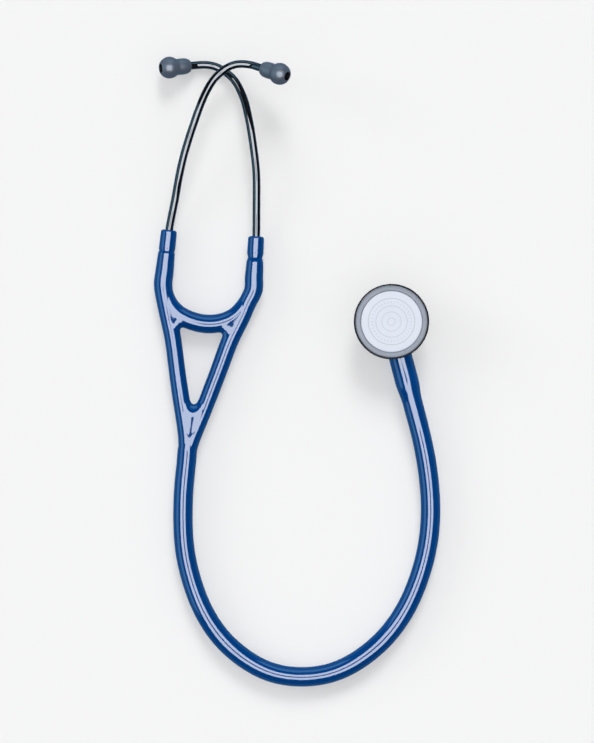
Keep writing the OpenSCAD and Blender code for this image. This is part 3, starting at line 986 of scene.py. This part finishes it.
def diaphragm_profile(opening):
    return rounded(
        [
            (0.00035, 0.00001, 0),
            (0.00035, 0.0002, 0),
            (0.00036, opening * 0.5, 0),
            (0.00035, opening - 0.0006, 0.0003),
            (0.00052, opening - 0.0001, 0.0001),
            (0.00075, opening - 0.0001, 0),
            (0.00075, opening + 0.00085, 0),
            (0.0011, opening + 0.00085, 0),
            (0.0011, 0.00001, 0),
        ]
    )


def body_profile():
    lip, foot = LARGE_R - 0.0009, SMALL_R - 0.0009
    return rounded(
        [
            (0.00225, 0.0005, 0),
            (0.00225, foot, 0.0002),
            (0.0035, foot, 0.0005),
            (0.0041, foot - 0.0012, 0.0008),
            (0.0046, WAIST_R + 0.0016, 0.0018),
            (0.0062, WAIST_R, 0.0012),
            (0.013, WAIST_R, 0.002),
            (0.0149, WAIST_R + 0.0016, 0.0018),
            (CHEST_H - 0.0048, lip - 0.0024, 0.0012),
            (CHEST_H - 0.0042, lip, 0.0006),
            (CHEST_H - 0.00225, lip, 0),
            (CHEST_H - 0.00225, 0.0005, 0),
        ]
    )


def boss_profile():
    """The boss that holds the stem, along the stem's axis from the chestpiece's middle."""
    return rounded(
        [
            (0.0045, 0.0066, 0),
            (0.0072, 0.0058, 0.0016),
            (0.0085, 0.0052, 0.001),
            (0.0093, 0.0052, 0.0004),
            (0.0093, STEM_BORE_R, 0.0001),
            (0.006, STEM_BORE_R, 0),
        ]
    )


def stem_profile():
    return rounded(
        [
            (-0.006, 0.00001, 0),
            (-0.006, 0.003, 0.0003),
            (0.0096, 0.003, 0.0002),
            (0.0096, 0.0043, 0.0003),
            (0.0103, 0.0045, 0.0003),
            (0.0126, 0.0045, 0.0002),
            (0.0129, 0.0042, 0.0002),
            (0.0135, 0.0042, 0.0002),
            (0.0138, 0.0045, 0.0002),
            (0.0164, 0.0045, 0.0003),
            (0.0168, 0.0049, 0.0003),
            (0.0174, 0.005, 0.0003),
            (0.0175, 0.0028, 0),
            (0.02, 0.0028, 0),
            (0.02, 0.00295, 0),
            (0.0225, 0.0027, 0),
            (0.0225, 0.00295, 0),
            (0.028, 0.0025, 0.0003),
            (0.028, 0.00001, 0),
        ]
    )


def joined(name, *meshes):
    """Several meshes as one."""
    work = bmesh.new()
    for mesh in meshes:
        work.from_mesh(mesh)
    out = bpy.data.meshes.new(name)
    work.to_mesh(out)
    work.free()
    return out


def make_chestpiece(materials):
    middle = chest_frame().translation
    turn = JOINTS["chestpiece_turn"]
    along_stem = pointing(turn["pos_m"], turn["axis"])
    stem = lathed_mesh("stem_turning", stem_profile(), along_stem, SMALL_SIDES)
    body = joined(
        "chestpiece_turning",
        lathed_mesh("waisted_body", body_profile(), Matrix.Translation(middle), BODY_SIDES),
        lathed_mesh("boss", boss_profile(), along_stem, SMALL_SIDES),
    )
    pieces = [
        ("chestpiece_turning", body, "chest_smoke", "chestpiece", "chestpiece_body"),
        ("stem_turning", stem, "stem_steel", "yoke", "stem"),
    ]
    for side, r, opening, deep, flipped in (
        ("large", LARGE_R, LARGE_OPEN, 0.0043, True),
        ("small", SMALL_R, SMALL_OPEN, 0.0036, False),
    ):
        base = chest_frame(flipped)
        rim, surround, disc = f"{side}_rim_ring", f"{side}_surround_ring", f"{side}_diaphragm_disc"
        rim_mesh = lathed_mesh(rim, rim_profile(r, deep), base, RING_SIDES, closed=True)
        surround_mesh = lathed_mesh(surround, surround_profile(r, opening), base, RING_SIDES, closed=True)
        disc_mesh = lathed_mesh(disc, diaphragm_profile(opening), base, RING_SIDES)
        pieces += [
            (rim, rim_mesh, "rim_black", "chestpiece", f"{side}_rim"),
            (surround, surround_mesh, "surround_grey", "chestpiece", f"{side}_surround"),
            (disc, disc_mesh, f"{side}_diaphragm", f"{side}_diaphragm", f"{side}_diaphragm"),
        ]
    for name, mesh, material, body_name, node in pieces:
        piece = add_object(name, mesh, materials[material])
        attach(piece, body_name)
        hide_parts(node)
        "diaphragm_white" if "diaphragm" in material else material


# ---------------------------------------------------------------- all materials

def make_materials():
    middle = chest_frame().translation
    return {
        "pvc_blue": speckled_material(
            "blue_pvc", dark=(0.0006, 0.045, 0.2), light=(0.0010, 0.05, 0.218), rough=(0.05, 0.10),
            grain=900, bump=(0.03, 0.00003), Coat_Weight=0.6, Coat_Roughness=0.03, Specular_IOR_Level=0.55,
        ),
        "tube_black": speckled_material(
            "black_enamel", dark=(0.003, 0.003, 0.004), light=(0.005, 0.005, 0.007), rough=(0.06, 0.13),
            grain=1400, bump=(0.03, 0.00002), Coat_Weight=0.7, Coat_Roughness=0.04, Specular_IOR_Level=0.7,
        ),
        "spring_steel": speckled_material(
            "spring_steel", dark=(0.50, 0.51, 0.54), light=(0.60, 0.61, 0.63), rough=(0.25, 0.42),
            grain=1200, bump=(0.1, 0.00003), stretch=(1, 1, 8), Metallic=1.0,
        ),
        "stem_steel": turned_material(
            "polished_steel", dark=(0.56, 0.57, 0.60), light=(0.64, 0.65, 0.68), rough=(0.12, 0.26),
            rings=2500, bump=(0.08, 0.00002), centre=JOINTS["chestpiece_turn"]["pos_m"],
            turn=(math.radians(90), 0, 0), Metallic=1.0,
        ),
        "chest_smoke": turned_material(
            "smoke_steel", dark=(0.105, 0.11, 0.125), light=(0.135, 0.14, 0.155), rough=(0.24, 0.38),
            rings=2800, bump=(0.12, 0.00003), centre=middle, Metallic=1.0,
        ),
        "rim_black": speckled_material(
            "black_rubber", dark=(0.006, 0.006, 0.009), light=(0.009, 0.009, 0.012), rough=(0.25, 0.4),
            grain=2200, bump=(0.1, 0.00003), Specular_IOR_Level=0.12,
        ),
        "surround_grey": turned_material(
            "grey_satin", dark=(0.17, 0.19, 0.235), light=(0.20, 0.22, 0.265), rough=(0.30, 0.44),
            rings=3600, bump=(0.25, 0.00004), centre=middle, Specular_IOR_Level=0.35,
        ),
        "large_diaphragm": diaphragm_material(
            "printed_disc_large", middle, ticks=(0.0106, 0.0120), tick_count=36,
            rings=((0.0135, 0.00024), (0.0091, 0.00018), (0.0056, 0.00016), (0.0022, 0.00016)),
        ),
        "small_diaphragm": diaphragm_material(
            "printed_disc_small", middle, ticks=(0.0077, 0.0086), tick_count=28,
            rings=((0.0098, 0.0002), (0.0064, 0.00016)),
        ),
        "index_white": speckled_material(
            "white_paint", dark=(0.74, 0.74, 0.73), light=(0.8, 0.8, 0.79), rough=(0.35, 0.5),
            grain=2500, bump=(0.08, 0.00002),
        ),
    }


def dress_cad_nodes(materials):
    """The CAD nodes that stay get the material of their slot."""
    for row in frame["record"]["subparts"]:
        node = frame["nodes"][row["node"]]
        slot_name = row["material_slot"]
        if node.hide_render or slot_name not in materials:
            continue
        node.data.materials.clear()
        node.data.materials.append(materials[slot_name])


# ---------------------------------------------------------------- camera, lights and floor

CAMERA_HEIGHT = 2.2
VIEW_CENTRE = (0.0033, -0.0685)
VIEW_LONG_SIDE = 0.4347
TUBE_LEVEL = 0.0056

WORLD_COLOUR = (0.985, 0.99, 1)
WORLD_STRENGTH = 0.36
SUN_WIDTH_DEG = 24
SUNS = (  # name, the way it runs, strength, whether it casts shadows
    ("window", (-0.12, -1, -0.8), 1.1, True),
    ("left_window", (1, -0.3, -0.45), 0.45, True),
    ("overhead", (0, 0, -1), 1.38, False),
)

TOP_HEIGHT = 3.0
TOP_LEFT_X, TOP_RIGHT_X = -1.75, 1.75
TOP_NEAR_Y, TOP_FAR_Y = -2.1, 1.2
DARK_X, DARK_Y, DARK_HALF = 0.05, -0.35, 0.29
TOP_RADIANCE = 7.5
TOP_TINT = (0.9, 0.96, 1.05)
SIDE_PLACES = {"side_panel": (-2.4, 0, 0.9), "far_panel": (0, 2.4, 0.9)}
SIDE_SIZE = (3, 1.4)
SIDE_RADIANCE = 1.0
SIDE_TINT = (0.52, 1.1, 1.5)

FLOOR_SIDE = 6
FLOOR_COLOUR = (0.86, 0.86, 0.86)
REFLECTED_COLOUR = (0.08, 0.2, 0.34)
REFLECTED_LEVEL = 0.0001


def make_camera():
    data = bpy.data.cameras.new("camera")
    data.sensor_width = 36
    data.lens = data.sensor_width * (CAMERA_HEIGHT - TUBE_LEVEL) / VIEW_LONG_SIDE
    data.clip_end = 50
    camera = bpy.data.objects.new("camera", data)
    camera.location = (*VIEW_CENTRE, CAMERA_HEIGHT)
    bpy.context.scene.collection.objects.link(camera)
    bpy.context.scene.camera = camera


def add_light(name, data, runs):
    """A light object whose light runs the given way."""
    light = bpy.data.objects.new(name, data)
    light.rotation_euler = Vector(runs).to_track_quat("-Z", "Y").to_euler()
    bpy.context.scene.collection.objects.link(light)
    return light


def make_sun(name, runs, strength, shadows):
    """Far light that reflections don't show."""
    data = bpy.data.lights.new(name, "SUN")
    data.energy = strength
    data.angle = math.radians(SUN_WIDTH_DEG)
    data.use_shadow = shadows
    add_light(name, data, runs).visible_glossy = False


def make_panel(name, place, target, size, radiance, colour):
    """A bright panel that only reflections show, its radiance told apart from its size."""
    data = bpy.data.lights.new(name, "AREA")
    data.shape = "RECTANGLE"
    data.size, data.size_y = size
    data.energy = radiance * math.pi * size[0] * size[1]
    data.color = colour
    panel = add_light(name, data, Vector(target) - Vector(place))
    panel.location = place
    panel.visible_camera = False
    panel.visible_diffuse = False


def make_lights():
    """A pale world, the suns, a top panel in four strips round a dark square, and two side panels."""
    world = bpy.data.worlds.new("world")
    world.use_nodes = True
    background = world.node_tree.nodes["Background"]
    background.inputs["Color"].default_value = (*WORLD_COLOUR, 1)
    background.inputs["Strength"].default_value = WORLD_STRENGTH
    world.cycles_visibility.glossy = False
    bpy.context.scene.world = world
    for sun in SUNS:
        make_sun(*sun)
    dark_left, dark_right = DARK_X - DARK_HALF, DARK_X + DARK_HALF
    strips = {
        "top_left": (TOP_LEFT_X, dark_left, TOP_NEAR_Y, TOP_FAR_Y),
        "top_right": (dark_right, TOP_RIGHT_X, TOP_NEAR_Y, TOP_FAR_Y),
        "top_near": (dark_left, dark_right, TOP_NEAR_Y, DARK_Y - DARK_HALF),
        "top_far": (dark_left, dark_right, DARK_Y + DARK_HALF, TOP_FAR_Y),
    }
    for name, (x0, x1, y0, y1) in strips.items():
        x, y = (x0 + x1) / 2, (y0 + y1) / 2
        make_panel(name, (x, y, TOP_HEIGHT), (x, y, 0), (x1 - x0, y1 - y0), TOP_RADIANCE, TOP_TINT)
    for name, place in SIDE_PLACES.items():
        make_panel(name, place, (0, 0, 0), SIDE_SIZE, SIDE_RADIANCE, SIDE_TINT)


def make_card(name, level, colour):
    """A level square card, matt and of one colour."""
    mesh = bpy.data.meshes.new(name)
    half = FLOOR_SIDE / 2
    corners = [(-half, -half, level), (half, -half, level), (half, half, level), (-half, half, level)]
    mesh.from_pydata(corners, [], [(0, 1, 2, 3)])
    material, tree = new_material(name)
    set_shader(tree, Base_Color=(*colour, 1), Roughness=0.9, Specular_IOR_Level=0)
    card = add_object(name, mesh, material)
    return card


def make_floor():
    """The pale floor, and a dim blue card on it that stands in for it in reflections and nowhere else."""
    floor = make_card("floor", 0, FLOOR_COLOUR)
    floor.visible_glossy = False
    card = make_card("reflected_card", REFLECTED_LEVEL, REFLECTED_COLOUR)
    card.visible_camera = False
    card.visible_diffuse = False
    card.visible_transmission = False
    card.visible_shadow = False


# ---------------------------------------------------------------- the scene

make_camera()
materials = make_materials()
make_hose(materials["pvc_blue"])
curves = yoke_curves()
make_yoke(curves, materials["pvc_blue"])
make_arm("left", curves["left"], LEFT_LEG, materials["pvc_blue"])
make_arm("right", curves["right"], RIGHT_LEG, materials["pvc_blue"])
make_ear_tube("left", LEFT_TUBE, materials["tube_black"])
make_ear_tube("right", RIGHT_TUBE, materials["tube_black"])
make_eartip("left", LEFT_TIP)
make_eartip("right", RIGHT_TIP)
make_chestpiece(materials)
dress_cad_nodes(materials)
make_floor()
make_lights()
bpy.context.scene.view_settings.view_transform = "Standard"
